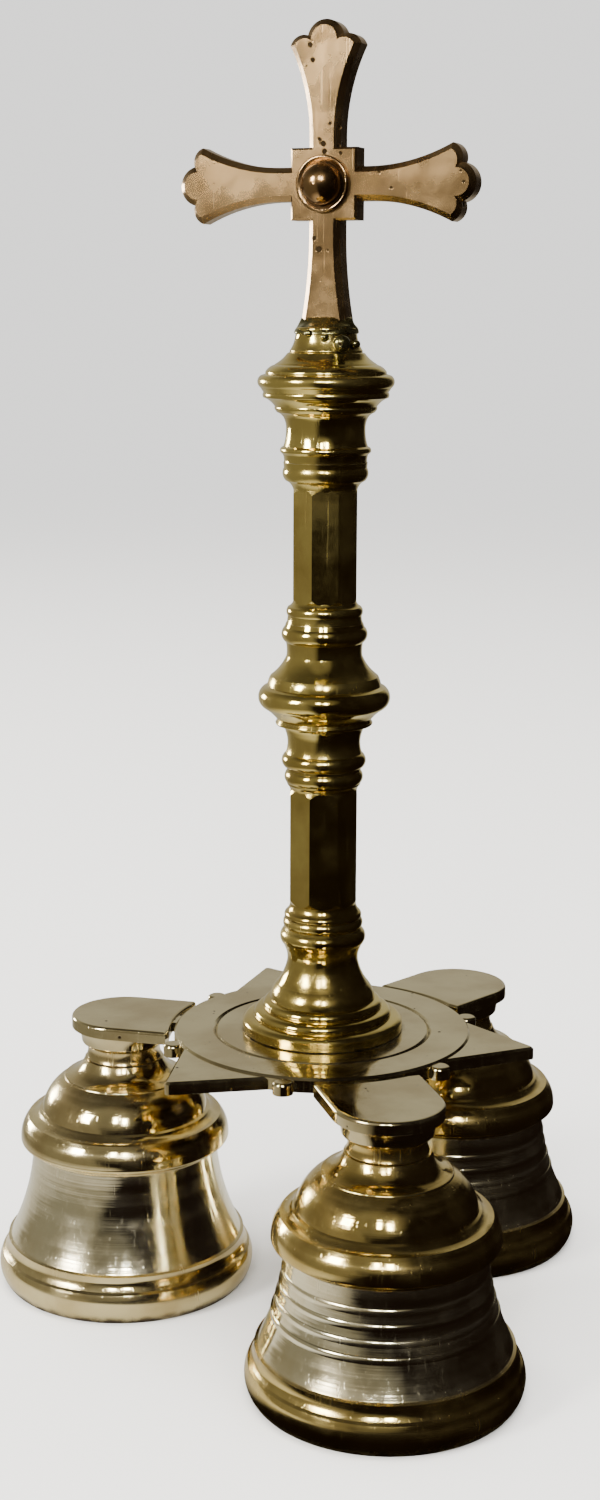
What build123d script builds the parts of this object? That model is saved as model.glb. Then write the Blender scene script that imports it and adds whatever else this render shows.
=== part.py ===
"""Three-bell sanctus bell: a cross-topped column on a small plate that carries three bells.

Millimetres, +Z up. The origin is on the column's axis, level with the bells' mouths, which
the whole thing stands on. One bell hangs towards -Y, the others at thirds of a turn.
"""

import os
from math import cos, hypot, radians, sqrt

from build123d import *

os.makedirs("parts", exist_ok=True)

# ---- driving dimensions -------------------------------------------------------------------

# The three bells around the column, by the direction that each one's tongue points in
bell_ring_r = 42.8
bell_turns = {"front": -90.0, "right": 30.0, "left": 150.0}

# Bell: a coved crown, a dome, a flange and a flared waist that ends in a heavy lip
mouth_r = 27.0
mouth_wall = 3.6
lip_h = 10.0
lip_step_r = 24.4
waist_r = 19.3
flange_z = 30.5
flange_r = 21.9
flange_t = 5.5
dome_foot_r = 17.4
dome_foot_rise = 1.4
dome_h = 7.2
tier_r = 12.3
crown_h = 3.8
crown_r = 8.2
bell_wall = 2.4
crown_t = 5.2

# Collar between the crown of a bell and the boss under its pad
collar_h = 3.4
collar_r = 7.9

# Plate: three points and three tongues with round pads, and a round table above them
boss_h = 3.6
boss_r = 8.8
boss_flare_r = 9.4
tier_t = 2.5
table_step = 0.4
table_r = 30.3
point_reach = 44.2
point_side_r = 26.3
point_tip_r = 1.0
pad_r = 10.8
pad_rounding = 0.7
slit_w = 1.1
bridge_w = 5.0
cusp_r = 2.0
cusp_turn = 30.6
plate_bevel = 0.5
groove_r = 21.9
groove_w = 1.0

# Column: the height of each turned piece, and the octagonal shafts across their flats
foot_h = 23.6
foot_r = 16.3
lower_shaft_h = 31.0
lower_flats = 13.3
knop_h = 29.1
knop_r = 13.2
upper_shaft_h = 31.4
upper_flats = 12.4
capital_h = 25.7
capital_r = 13.2
shaft_turn = -16.8
spigot_r = 4.6
spigot_h = 1.6
spigot_clearance = 0.1

# Cross: the same arm up and sideways, on a flared stem
cross_turn = -37.8
stem_length = 26.5
arm_length = 29.8
arm_root = 6.3
arm_end = 14.2
arm_straight = 2.2
stem_foot = 9.8
lobe_length = 2.8
lobe_width = 7.2
shoulder_length = 1.8
shoulder_bulge = 0.6
block_side = 13.3
cross_t = 4.4
arm_bevel = 1.1
block_bevel = 0.4
tenon_w = 6.0
tenon_t = 3.6
tenon_h = 7.0
tenon_clearance = 0.05
cross_pin_r = 0.9

# Boss riveted through the crossing
rivet_r = 1.6
boss_rim_r = 5.3
boss_rim_t = 0.9
boss_dish = 0.5
boss_ball_r = 3.9
boss_ball_lift = 0.9
peen_r = 3.0
peen_t = 1.1

# Rod, washer and nut that hold the column to the plate
rod_r = 2.5
rod_clearance = 0.1
rod_thread_depth = 9.0
washer_r = 6.0
washer_t = 1.0
nut_flats = 8.0
nut_t = 4.0
rod_end = 1.2

# Hanger inside each bell: an eye bolt with a washer and nut, a link and a clapper
bolt_r = 1.9
bolt_clearance = 0.1
bolt_seat_depth = 4.2
hanger_washer_r = 4.6
hanger_washer_t = 0.8
hanger_nut_flats = 7.0
hanger_nut_t = 3.0
eye_drop = 3.2
eye_r = 2.2
eye_wire_r = 0.8
link_r = 1.9
link_straight = 1.6
link_wire_r = 0.7
ring_clearance = 0.1
clapper_ball_r = 5.0
clapper_ball_z = 11.0
clapper_rod_r = 1.1
clapper_tail_r = 1.5
clapper_tail_h = 2.4

# ---- places that follow from them ---------------------------------------------------------

dome_foot_z = flange_z + flange_t + dome_foot_rise
tier_z = dome_foot_z + dome_h
crown_z = tier_z + crown_h
crown_underside_z = crown_z - crown_t

boss_z = crown_z + collar_h
plate_z = boss_z + boss_h
pad_z = plate_z + tier_t
table_z = pad_z + table_step

lower_shaft_z = table_z + foot_h
knop_z = lower_shaft_z + lower_shaft_h
upper_shaft_z = knop_z + knop_h
capital_z = upper_shaft_z + upper_shaft_h
cross_foot_z = capital_z + capital_h
crossing_z = cross_foot_z + stem_length

bore_r = rod_r + rod_clearance
rod_top_z = capital_z + rod_thread_depth
bolt_hole_r = bolt_r + bolt_clearance
bolt_top_z = boss_z + bolt_seat_depth

rise = (Align.CENTER, Align.CENTER, Align.MIN)


def finish(piece, node):
    """Label one finished piece and write it as its own node."""
    piece.part.label = node
    export_step(piece.part, f"parts/{node}.step")


def upright(turn_degrees, reach=0.0, height=0.0):
    """Upright plane whose local X points outwards in a direction, and local Y points up."""
    outward = Vector(1, 0, 0).rotate(Axis.Z, turn_degrees)
    origin = outward * reach + Vector(0, 0, height)
    return Plane(origin=origin, x_dir=outward, z_dir=outward.cross(Vector(0, 0, 1)))


def outline(points):
    """Join (radius, height, bulge) points, going up one side of a turned piece.

    A bulge of 0 is a straight stretch up to that point. Any other value is an arc that
    stands that far out of the straight line, or that far in when it is negative.
    """
    for (r0, z0, _), (r1, z1, bulge) in zip(points, points[1:]):
        if bulge == 0:
            Line((r0, z0), (r1, z1))
        else:
            span = hypot(r1 - r0, z1 - z0)
            middle_r = (r0 + r1) / 2 + bulge * (z1 - z0) / span
            middle_z = (z0 + z1) / 2 - bulge * (r1 - r0) / span
            ThreePointArc((r0, z0), (middle_r, middle_z), (r1, z1))


def turned(points, plane=Plane.XZ, base=0.0, mode=Mode.ADD):
    """Turn a solid about a plane's local Y from its outline, with heights above a base."""
    raised = [(r, base + z, bulge) for r, z, bulge in points]
    (foot, bottom, _), (head, top, _) = raised[0], raised[-1]
    with BuildSketch(plane) as profile:
        with BuildLine():
            outline(raised)
            if head > 0:
                Line((head, top), (0, top))
            Polyline((0, top), (0, bottom), (foot, bottom))
        make_face()
    revolve(profile.sketch, Axis(plane.origin, plane.y_dir), mode=mode)


def drill(radius, low, high, plane=Plane.XZ):
    """Round hole along Z, between two heights, on the axis that a plane stands on."""
    with Locations((plane.origin.X, plane.origin.Y, low)):
        Cylinder(radius, high - low, align=rise, mode=Mode.SUBTRACT)


def joint_faces(low, high, has_socket=True, has_spigot=True):
    """Rod bore of a column piece, with a socket in its foot and a spigot on its head."""
    if has_spigot:
        with Locations((0, 0, high)):
            Cylinder(spigot_r, spigot_h, align=rise)
        drill(bore_r, low, high + spigot_h)
    if has_socket:
        drill(spigot_r + spigot_clearance, low, low + spigot_h + spigot_clearance)


def octagon_bar(flats, low, high):
    """Eight-sided bar whose corners are turned away at its ends, so that its flats end in arcs."""
    corner_r = flats / 2 / cos(radians(22.5))
    run_out = 2 * (corner_r - flats / 2)
    with BuildSketch(Plane.XY.offset(low)) as section:
        RegularPolygon(flats / 2, 8, major_radius=False, rotation=22.5 + shaft_turn)
    extrude(section.sketch, high - low)
    bar_outline = [(flats / 2, low, 0), (corner_r, low + run_out, 0)]
    bar_outline += [(corner_r, high - run_out, 0), (flats / 2, high, 0)]
    turned(bar_outline, mode=Mode.INTERSECT)


def hexagon_nut(flats, thickness, hole_r, low, plane=Plane.XZ):
    """Hexagon nut with turned corners, standing on a height, on a plane's axis."""
    with BuildSketch(Plane((plane.origin.X, plane.origin.Y, low))) as section:
        RegularPolygon(flats / 2, 6, major_radius=False)
        Circle(hole_r, mode=Mode.SUBTRACT)
    extrude(section.sketch, thickness)
    corner_r = flats / 2 / cos(radians(30))
    corner_cut = corner_r - flats / 2
    nut_outline = [(flats / 2, low, 0), (corner_r, low + corner_cut, 0)]
    nut_outline += [(corner_r, low + thickness - corner_cut, 0), (flats / 2, low + thickness, 0)]
    turned(nut_outline, plane, mode=Mode.INTERSECT)


# ---- plate --------------------------------------------------------------------------------

bell_planes = {name: upright(turn, bell_ring_r) for name, turn in bell_turns.items()}
plate_base = Plane.XY.offset(plate_z)
first_turn = bell_turns["front"]

# Each side of the plate bends outwards at its tongue, so a point is blunter than a triangle's
corners = []
for turn in bell_turns.values():
    corners.append(Vector(point_side_r, 0).rotate(Axis.Z, turn))
    corners.append(Vector(point_reach, 0).rotate(Axis.Z, turn + 60))

with BuildSketch() as points:
    with BuildLine():
        Polyline(corners, close=True)
    make_face()
    fillet(points.vertices().sort_by_distance((0, 0))[-3:], point_tip_r)

with BuildPart() as base_plate:
    # Tongues, full width up to the slit that parts them from the table
    with BuildSketch(plate_base):
        with PolarLocations(bell_ring_r, 3, start_angle=first_turn):
            Circle(pad_r)
        with PolarLocations((table_r + bell_ring_r) / 2, 3, start_angle=first_turn):
            Rectangle(bell_ring_r - table_r, 2 * pad_r)
        Circle(table_r + slit_w, mode=Mode.SUBTRACT)
    extrude(amount=tier_t)
    fillet(base_plate.edges().group_by(Axis.Z)[-1], pad_rounding)

    # Points, with their tips just rounded and their upper edges bevelled
    with BuildSketch(plate_base):
        add(points.sketch)
    extrude(amount=tier_t - plate_bevel)
    with BuildSketch(plate_base.offset(tier_t - plate_bevel)):
        add(points.sketch)
    extrude(amount=plate_bevel, taper=45)

    # Bridges across the slits, and a cusp either side of each tongue
    with BuildSketch(plate_base):
        with PolarLocations(table_r, 3, start_angle=first_turn):
            Rectangle(4 * slit_w, bridge_w)
    extrude(amount=tier_t - plate_bevel)
    cusp_outline = [(cusp_r, 0, 0), (cusp_r, tier_t - plate_bevel, 0), (cusp_r - plate_bevel, tier_t, 0.1)]
    for turn in bell_turns.values():
        for side in (-cusp_turn, cusp_turn):
            turned(cusp_outline, upright(turn + side, table_r + cusp_r / 2), base=plate_z)

    # Round table, with a turned groove and a hole for the rod
    turned([(table_r, plate_z, 0), (table_r, table_z - plate_bevel, 0), (table_r - plate_bevel, table_z, 0)])
    with BuildSketch(Plane.XZ):
        with BuildLine():
            Polyline(
                (groove_r - groove_w / 2, table_z),
                (groove_r, table_z - groove_w / 2),
                (groove_r + groove_w / 2, table_z),
                close=True,
            )
        make_face()
    revolve(axis=Axis.Z, mode=Mode.SUBTRACT)
    drill(bore_r, plate_z, table_z)

    # Boss under each pad, with a blind hole for the bell's bolt
    for bell_plane in bell_planes.values():
        turned(
            [
                (boss_r - 0.5, 0, 0),
                (boss_r, 0.5, 0.1),
                (boss_flare_r, boss_h - 0.5, -0.1),
                (boss_flare_r - 0.6, boss_h, 0),
            ],
            bell_plane,
            base=boss_z,
        )
        drill(bolt_hole_r, boss_z, bolt_top_z, bell_plane)

finish(base_plate, "base_plate")

# ---- column -------------------------------------------------------------------------------

with BuildPart() as column_foot:
    turned(
        [
            (foot_r - 0.3, 0, 0),
            (foot_r, 0.4, 0.1),
            (foot_r, 2.0, 0),
            (foot_r - 1.3, 2.9, 0.2),
            (foot_r - 2.3, 3.1, 0),
            (foot_r - 3.3, 4.7, 0.4),
            (foot_r - 4.2, 4.9, 0),
            (foot_r - 4.9, 6.4, 0.3),
            (foot_r - 5.6, 6.6, 0),
            (9.2, 9.9, 0.3),
            (7.2, 14.6, -0.3),
            (7.5, 17.0, -0.15),
            (8.0, 18.2, 0),
            (8.0, 21.2, 0.65),
            (7.7, 21.6, 0),
            (7.7, foot_h, 0.35),
        ],
        base=table_z,
    )
    joint_faces(table_z, lower_shaft_z, has_socket=False)

finish(column_foot, "column_foot")

with BuildPart() as lower_shaft:
    shaft_r = lower_flats / 2
    octagon_bar(lower_flats, lower_shaft_z + 3.0, knop_z - 4.2)
    turned(
        [
            (7.6, 0, 0),
            (7.6, 1.2, 0.2),
            (shaft_r, 3.4, -0.3),
        ],
        base=lower_shaft_z,
    )
    turned(
        [
            (shaft_r, -4.6, 0),
            (7.3, -3.4, -0.1),
            (7.4, -3.0, 0),
            (7.4, -0.6, 0.45),
            (7.4, 0, 0),
        ],
        base=knop_z,
    )
    joint_faces(lower_shaft_z, knop_z)

finish(lower_shaft, "lower_shaft")

with BuildPart() as knop:
    turned(
        [
            (7.5, 0, 0),
            (7.6, 3.0, 0.85),
            (7.7, 7.5, -0.4),
            (8.4, 8.7, -0.1),
            (9.5, 8.8, 0),
            (9.5, 9.4, 0.15),
            (9.3, 9.8, 0),
            (knop_r - 1.1, 12.3, -0.2),
            (knop_r - 1.0, 16.2, 0.95),
            (knop_r - 1.9, 16.6, 0),
            (knop_r - 2.5, 18.5, 0.1),
            (7.5, 22.6, -0.35),
            (7.6, 25.2, -0.1),
            (7.9, 25.5, 0),
            (7.9, 28.3, 0.6),
            (7.6, knop_h, 0),
        ],
        base=knop_z,
    )
    joint_faces(knop_z, upper_shaft_z)

finish(knop, "knop")

with BuildPart() as upper_shaft:
    shaft_r = upper_flats / 2
    octagon_bar(upper_flats, upper_shaft_z + 3.9, capital_z - 5.0)
    turned(
        [
            (7.5, 0, 0),
            (7.3, 1.5, -0.05),
            (7.2, 3.2, 0.3),
            (shaft_r, 4.3, -0.15),
        ],
        base=upper_shaft_z,
    )
    turned(
        [
            (shaft_r, -5.5, 0),
            (7.1, -3.9, -0.15),
            (7.8, -3.5, 0),
            (8.1, -1.0, 0.4),
            (8.2, 0, 0),
        ],
        base=capital_z,
    )
    joint_faces(upper_shaft_z, capital_z)

finish(upper_shaft, "upper_shaft")

with BuildPart() as capital:
    turned(
        [
            (8.1, 0, 0),
            (8.3, 1.5, -0.1),
            (8.8, 2.0, 0),
            (8.7, 2.8, 0.1),
            (8.2, 3.1, 0),
            (7.7, 6.4, -0.15),
            (8.2, 8.6, -0.15),
            (9.5, 9.6, -0.15),
            (9.8, 10.0, 0),
            (9.9, 10.7, 0.1),
            (11.6, 12.2, -0.15),
            (12.1, 12.4, 0),
            (12.1, 13.4, 0.15),
            (capital_r - 0.5, 14.3, 0),
            (capital_r - 0.6, 16.6, 0.6),
            (capital_r - 1.5, 16.9, 0),
            (capital_r - 1.7, 17.6, 0.1),
            (10.0, 18.6, 0.15),
            (9.6, 18.9, 0),
            (7.5, 20.8, -0.15),
            (7.0, 21.0, 0),
            (6.9, 21.5, 0.1),
            (5.9, capital_h - 0.4, -0.3),
            (5.5, capital_h, 0.1),
        ],
        base=capital_z,
    )
    joint_faces(capital_z, cross_foot_z, has_spigot=False)
    drill(bore_r, capital_z, rod_top_z)
    with Locations(Location((0, 0, cross_foot_z - tenon_h), (0, 0, cross_turn))):
        Box(
            tenon_w + 2 * tenon_clearance,
            tenon_t + 2 * tenon_clearance,
            tenon_h,
            align=rise,
            mode=Mode.SUBTRACT,
        )

# The cross's pin goes in from behind, and stops inside the capital's front wall
pin_z = cross_foot_z - tenon_h / 2
pin_front = tenon_t / 2 + 0.8
pin_plane = Plane(
    origin=(0, 0, pin_z),
    x_dir=(0, 0, 1),
    z_dir=-upright(cross_turn).z_dir,
).offset(-pin_front)

with BuildPart() as cross_pin:
    with BuildSketch(pin_plane):
        Circle(cross_pin_r)
    extrude(amount=2 * capital_r)
    turned([(6.0, pin_z - 2, 0), (6.0, pin_z + 2, 0)], mode=Mode.INTERSECT)

with capital:
    with BuildSketch(pin_plane):
        Circle(cross_pin_r)
    extrude(amount=2 * capital_r, mode=Mode.SUBTRACT)

finish(capital, "capital")
finish(cross_pin, "cross_pin")

# ---- cross --------------------------------------------------------------------------------

cross_plane = upright(cross_turn, height=crossing_z)
arm_start = block_side / 2 + arm_straight
bevel_plane = cross_plane.offset(cross_t / 2 - arm_bevel)
front_plane = cross_plane.offset(cross_t / 2)


def arm_outline(inset):
    """Upward arm of the cross, ending in a lobe between two shoulders, drawn smaller by an inset."""
    half_root = arm_root / 2 - inset
    tip = (arm_end / 2 - 1.1 * inset, arm_length - lobe_length - shoulder_length)
    cusp = (lobe_width / 2 - inset, arm_length - lobe_length - inset)
    shoulder = ((tip[0] + cusp[0]) / 2 + shoulder_bulge, (tip[1] + cusp[1]) / 2 + shoulder_bulge)
    with BuildSketch() as arm:
        with BuildLine():
            Polyline((0, 0), (half_root, 0), (half_root, arm_start))
            TangentArc((half_root, arm_start), tip, tangent=(0, 1))
            ThreePointArc(tip, shoulder, cusp)
            ThreePointArc(cusp, (0, arm_length - inset), (-cusp[0], cusp[1]))
            ThreePointArc((-cusp[0], cusp[1]), (-shoulder[0], shoulder[1]), (-tip[0], tip[1]))
            TangentArc((-half_root, arm_start), (-tip[0], tip[1]), tangent=(0, 1))
            Polyline((-half_root, arm_start), (-half_root, 0), (0, 0))
        make_face()
    return arm.sketch


def stem_outline(inset):
    """Flared stem below the crossing, drawn narrower by an inset."""
    half_root = arm_root / 2 - inset
    half_foot = stem_foot / 2 - inset
    with BuildSketch() as stem:
        with BuildLine():
            Polyline((0, 0), (half_root, 0), (half_root, -arm_start))
            TangentArc((half_root, -arm_start), (half_foot, -stem_length), tangent=(0, -1))
            Line((half_foot, -stem_length), (-half_foot, -stem_length))
            TangentArc((-half_root, -arm_start), (-half_foot, -stem_length), tangent=(0, -1))
            Polyline((-half_root, -arm_start), (-half_root, 0), (0, 0))
        make_face()
    return stem.sketch


with BuildPart() as cross:
    # Three arms and the stem, each a flat bar with a bevel round its face
    for draw, turn in ((arm_outline, 0), (arm_outline, 90), (arm_outline, -90), (stem_outline, 0)):
        with BuildSketch(cross_plane.offset(-cross_t / 2)):
            add(draw(0), rotation=turn)
        extrude(amount=cross_t - arm_bevel)
        with BuildSketch(bevel_plane):
            add(draw(0), rotation=turn)
        with BuildSketch(front_plane):
            add(draw(arm_bevel), rotation=turn)
        loft(ruled=True)

    # Block at the crossing, drilled for the boss's rivet
    with BuildSketch(cross_plane.offset(-cross_t / 2)):
        Rectangle(block_side, block_side)
    extrude(amount=cross_t - block_bevel)
    with BuildSketch(cross_plane.offset(cross_t / 2 - block_bevel)):
        Rectangle(block_side, block_side)
    extrude(amount=block_bevel, taper=45)
    with BuildSketch(cross_plane.offset(-cross_t)):
        Circle(rivet_r)
    extrude(amount=2 * cross_t, mode=Mode.SUBTRACT)

    # Tenon below the stem, drilled for its pin
    with BuildSketch(cross_plane.offset(-tenon_t / 2)):
        with Locations((0, -stem_length - tenon_h / 2)):
            Rectangle(tenon_w, tenon_h)
    extrude(amount=tenon_t)
    with BuildSketch(pin_plane):
        Circle(cross_pin_r)
    extrude(amount=2 * capital_r, mode=Mode.SUBTRACT)

finish(cross, "cross")

# The boss's heights run along the cross's facing, from the middle of its thickness
facing = Plane(
    origin=cross_plane.origin,
    x_dir=cross_plane.x_dir,
    z_dir=cross_plane.x_dir.cross(cross_plane.z_dir),
)
ball_centre = cross_t / 2 + boss_ball_lift
ball_start = cross_t / 2 + boss_dish
ball_start_r = sqrt(boss_ball_r**2 - (ball_centre - ball_start) ** 2)
ball_top = ball_centre + boss_ball_r
half_chord = hypot(ball_start_r, ball_top - ball_start) / 2
ball_bulge = boss_ball_r - sqrt(boss_ball_r**2 - half_chord**2)

with BuildPart() as boss_rivet:
    turned(
        [
            (0.4 * peen_r, -cross_t / 2 - peen_t, 0),
            (peen_r, -cross_t / 2, 0.3),
            (rivet_r, -cross_t / 2, 0),
            (rivet_r, cross_t / 2, 0),
            (boss_rim_r, cross_t / 2, 0),
            (boss_rim_r, cross_t / 2 + 0.6 * boss_rim_t, 0),
            (boss_rim_r - 0.5, cross_t / 2 + boss_rim_t, 0.15),
            (ball_start_r, ball_start, 0),
            (0, ball_top, ball_bulge),
        ],
        facing,
    )

finish(boss_rivet, "boss_rivet")

# ---- rod through the column ---------------------------------------------------------------

washer_z = plate_z - washer_t
nut_z = washer_z - nut_t

with BuildPart() as tie_rod:
    with Locations((0, 0, nut_z - rod_end)):
        Cylinder(rod_r, rod_top_z - nut_z + rod_end, align=rise)
    chamfer(tie_rod.edges().filter_by(GeomType.CIRCLE), rod_clearance + 0.4)

with BuildPart() as tie_washer:
    with Locations((0, 0, washer_z)):
        Cylinder(washer_r, washer_t, align=rise)
    drill(bore_r, washer_z, plate_z)

with BuildPart() as tie_nut:
    hexagon_nut(nut_flats, nut_t, bore_r, nut_z)

finish(tie_rod, "tie_rod")
finish(tie_washer, "tie_washer")
finish(tie_nut, "tie_nut")

# ---- bells --------------------------------------------------------------------------------

bell_outline = [
    (mouth_r - 1.6, 0, 0),
    (mouth_r - 0.7, 0.64 * lip_h, 1.05),
    (mouth_r - 1.2, 0.68 * lip_h, 0),
    (lip_step_r + 0.6, lip_h - 0.3, -0.35),
    (lip_step_r, lip_h, 0),
    (waist_r, flange_z - 1.2, -1.0),
    (waist_r + 0.8, flange_z - 1.0, 0),
    (waist_r + 0.8, flange_z, 0.2),
    (flange_r - 0.5, flange_z, 0),
    (flange_r, flange_z + 1.0, 0.2),
    (flange_r - 1.7, flange_z + flange_t, 0.45),
    (dome_foot_r + 0.5, dome_foot_z - 0.3, -0.25),
    (dome_foot_r, dome_foot_z, 0),
    (tier_r + 0.3, tier_z - 0.4, 0.95),
    (tier_r, tier_z, 0.1),
    (tier_r - 0.6, tier_z + 0.2, 0),
    (crown_r, crown_z, -0.6),
]
cavity_outline = [
    (mouth_r - mouth_wall, 0, 0),
    (mouth_r - mouth_wall - 0.4, 0.35 * lip_h, 0),
    (lip_step_r - bell_wall, lip_h + 1.0, -0.2),
    (waist_r - bell_wall, flange_z - 1.0, -0.95),
    (waist_r - bell_wall, dome_foot_z - bell_wall, 0),
    (tier_r - 1.3 * bell_wall, crown_underside_z, 1.2),
]

washer_top = crown_underside_z
hanger_nut_z = washer_top - hanger_washer_t - hanger_nut_t
eye_z = hanger_nut_z - eye_drop
link_pivot_z = eye_z - eye_r
link_top_z = link_pivot_z + eye_wire_r + ring_clearance + link_wire_r - link_r
link_bottom_z = link_top_z - link_straight
clapper_pivot_z = link_bottom_z - link_r
clapper_eye_z = clapper_pivot_z + link_wire_r + ring_clearance + eye_wire_r - eye_r

for name, bell_plane in bell_planes.items():
    turn = bell_turns[name]
    foot = (bell_plane.origin.X, bell_plane.origin.Y)

    with BuildPart() as bell:
        turned(bell_outline, bell_plane)
        turned(cavity_outline, bell_plane, mode=Mode.SUBTRACT)
        drill(bolt_hole_r, crown_underside_z, crown_z, bell_plane)

    with BuildPart() as collar:
        turned(
            [
                (collar_r - 0.2, 0, 0),
                (collar_r, 0.4, 0.1),
                (collar_r - 0.2, collar_h - 0.5, -0.25),
                (collar_r + 0.1, collar_h, 0),
            ],
            bell_plane,
            base=crown_z,
        )
        drill(bolt_hole_r, crown_z, boss_z, bell_plane)

    # Eye bolt: its eye faces the column, so its lowest stretch of wire lies across
    with BuildPart() as eye_bolt:
        turned(
            [
                (eye_wire_r, eye_z + eye_r - 0.4, 0),
                (bolt_r, eye_z + eye_r + 0.8, 0),
                (bolt_r, bolt_top_z - 0.5, 0),
                (bolt_r - 0.5, bolt_top_z, 0),
            ],
            bell_plane,
        )
        with Locations(Plane(origin=(*foot, eye_z), z_dir=bell_plane.x_dir)):
            Torus(eye_r, eye_wire_r)

    with BuildPart() as hanger_washer:
        with Locations((*foot, washer_top - hanger_washer_t)):
            Cylinder(hanger_washer_r, hanger_washer_t, align=rise)
        drill(bolt_hole_r, washer_top - hanger_washer_t, washer_top, bell_plane)

    with BuildPart() as hanger_nut:
        hexagon_nut(hanger_nut_flats, hanger_nut_t, bolt_hole_r, hanger_nut_z, bell_plane)

    # Link: one oval of wire, in the upright plane through the column
    with BuildPart() as link:
        with BuildLine(bell_plane) as oval:
            outer_side = Line((link_r, link_bottom_z), (link_r, link_top_z))
            ThreePointArc((link_r, link_top_z), (0, link_top_z + link_r), (-link_r, link_top_z))
            Line((-link_r, link_top_z), (-link_r, link_bottom_z))
            ThreePointArc((-link_r, link_bottom_z), (0, link_bottom_z - link_r), (link_r, link_bottom_z))
        with BuildSketch(Plane(origin=outer_side @ 0, z_dir=outer_side % 0)):
            Circle(link_wire_r)
        sweep(path=oval.wire())

    # Clapper: an eye like the bolt's, a rod, a ball and a short tail
    with BuildPart() as clapper:
        turned(
            [
                (clapper_tail_r - 0.5, clapper_ball_z - clapper_ball_r - clapper_tail_h, 0),
                (clapper_tail_r, clapper_ball_z - clapper_ball_r - clapper_tail_h + 0.8, 0.15),
                (clapper_tail_r - 0.2, clapper_ball_z - 0.8 * clapper_ball_r, 0),
                (clapper_rod_r + 0.4, clapper_ball_z + 0.8 * clapper_ball_r, 0),
                (clapper_rod_r, clapper_ball_z + 1.5 * clapper_ball_r, -0.05),
                (eye_wire_r, clapper_eye_z - eye_r + 0.3, 0),
            ],
            bell_plane,
        )
        with Locations((*foot, clapper_ball_z)):
            Sphere(clapper_ball_r)
        with Locations(Plane(origin=(*foot, clapper_eye_z), z_dir=bell_plane.x_dir)):
            Torus(eye_r, eye_wire_r)

    finish(bell, f"{name}_bell")
    finish(collar, f"{name}_collar")
    finish(eye_bolt, f"{name}_eye_bolt")
    finish(hanger_washer, f"{name}_hanger_washer")
    finish(hanger_nut, f"{name}_hanger_nut")
    finish(link, f"{name}_link")
    finish(clapper, f"{name}_clapper")
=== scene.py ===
"""Looks of the three-bell sanctus bell: aged polished brass, bronze and bell metal.

Laid out as an add-on and run as a script. Lengths are in metres, in the frame of the model.
"""

import math

import bmesh
import bpy
from bpy.props import FloatProperty, FloatVectorProperty, IntProperty, PointerProperty
from bpy.types import Operator, Panel, PropertyGroup
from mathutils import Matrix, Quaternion, Vector


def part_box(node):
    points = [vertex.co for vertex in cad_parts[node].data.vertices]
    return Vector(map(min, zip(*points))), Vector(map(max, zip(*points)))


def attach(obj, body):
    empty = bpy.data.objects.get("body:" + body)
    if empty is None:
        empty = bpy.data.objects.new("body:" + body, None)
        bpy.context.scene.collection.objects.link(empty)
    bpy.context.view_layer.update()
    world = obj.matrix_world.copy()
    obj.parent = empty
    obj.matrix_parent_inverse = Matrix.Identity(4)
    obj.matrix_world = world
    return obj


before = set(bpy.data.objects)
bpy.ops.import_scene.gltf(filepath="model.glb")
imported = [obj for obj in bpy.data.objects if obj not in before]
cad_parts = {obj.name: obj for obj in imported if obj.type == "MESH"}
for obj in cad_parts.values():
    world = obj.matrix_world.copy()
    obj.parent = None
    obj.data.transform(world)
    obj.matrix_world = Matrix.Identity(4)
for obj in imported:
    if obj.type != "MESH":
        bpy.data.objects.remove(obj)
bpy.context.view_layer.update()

bl_info = {
    "name": "Sanctus bell looks",
    "version": (1, 0, 0),
    "blender": (4, 5, 0),
    "location": "View3D > Sidebar > Sanctus Bell",
    "description": "Finishes, brazing, turned ridges and studio for a three-bell sanctus bell",
    "category": "Object",
}

MM = 0.001
BELLS = ("front", "right", "left")
RIDGED_BELLS = ("front", "right")
CROSS_TURN = math.radians(-37.8)

# Heights between which a bell's waist is turned bright
WAIST_BAND = (10 * MM, 29.5 * MM)
# How far the left bell's dome goes towards the paler metal of the waist
LEFT_BELL_PALER = 0.375
# How deep the middle of a ridge's section lies inside the bell's wall
RIDGE_SUNK = 0.4 * MM

# Section of the braze from its foot up: (share of its height, half width, half depth), in mm
BRAZE_ROWS = (
    (-0.9, 6.35, 6.35),
    (-0.45, 6.2, 6.15),
    (0.0, 5.95, 5.6),
    (0.35, 5.6, 4.2),
    (0.7, 5.3, 3.2),
    (1.0, 5.0, 2.6),
    (0.96, 4.2, 1.8),
)
# Beads of braze: (x, y, depth under the capital's top, radius, flattening), lengths in mm
BRAZE_BEADS = (
    (0.85, -7.2, 3.0, 1.7, 1.0),
    (3.9, -6.2, 3.1, 1.0, 0.8),
    (-2.2, -6.2, 1.8, 0.9, 0.7),
    (-4.6, -3.9, 1.1, 0.9, 0.8),
    (5.0, 3.6, 1.7, 0.9, 0.7),
)

# Strength of the pale backdrop, and of the room that the metal mirrors
BACKDROP = 1.7
ROOM = 1.0
# How strongly the metal mirrors the paper beside the bells, and where that starts and ends fading
PAPER_MIRRORED = 0.35
PAPER_REACH = (0.06, 0.22)
PAPER_RADIUS = 9.0
# Lamps: turn from the camera and rise in degrees, distance, width and height in metres, power in
# watts, and whether the metal mirrors them
LAMPS = {
    "Window light": (-54, 24, 1.5, 0.34, 0.5, 26.0, True),
    "Second window": (3, 28, 1.6, 0.15, 0.42, 9.0, True),
    "Third window": (-11, 30, 1.6, 0.15, 0.42, 7.0, True),
    "Rear window": (-132, 5, 1.5, 0.34, 0.34, 13.0, True),
    "Ceiling light": (0, 82, 1.5, 1.3, 1.3, 34.0, False),
}
LAMP_COLOUR = (1.0, 0.98, 0.94)
LAMP_TARGET = Vector((0, 0, 0.12))


# ---- settings -----------------------------------------------------------------------------


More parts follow.
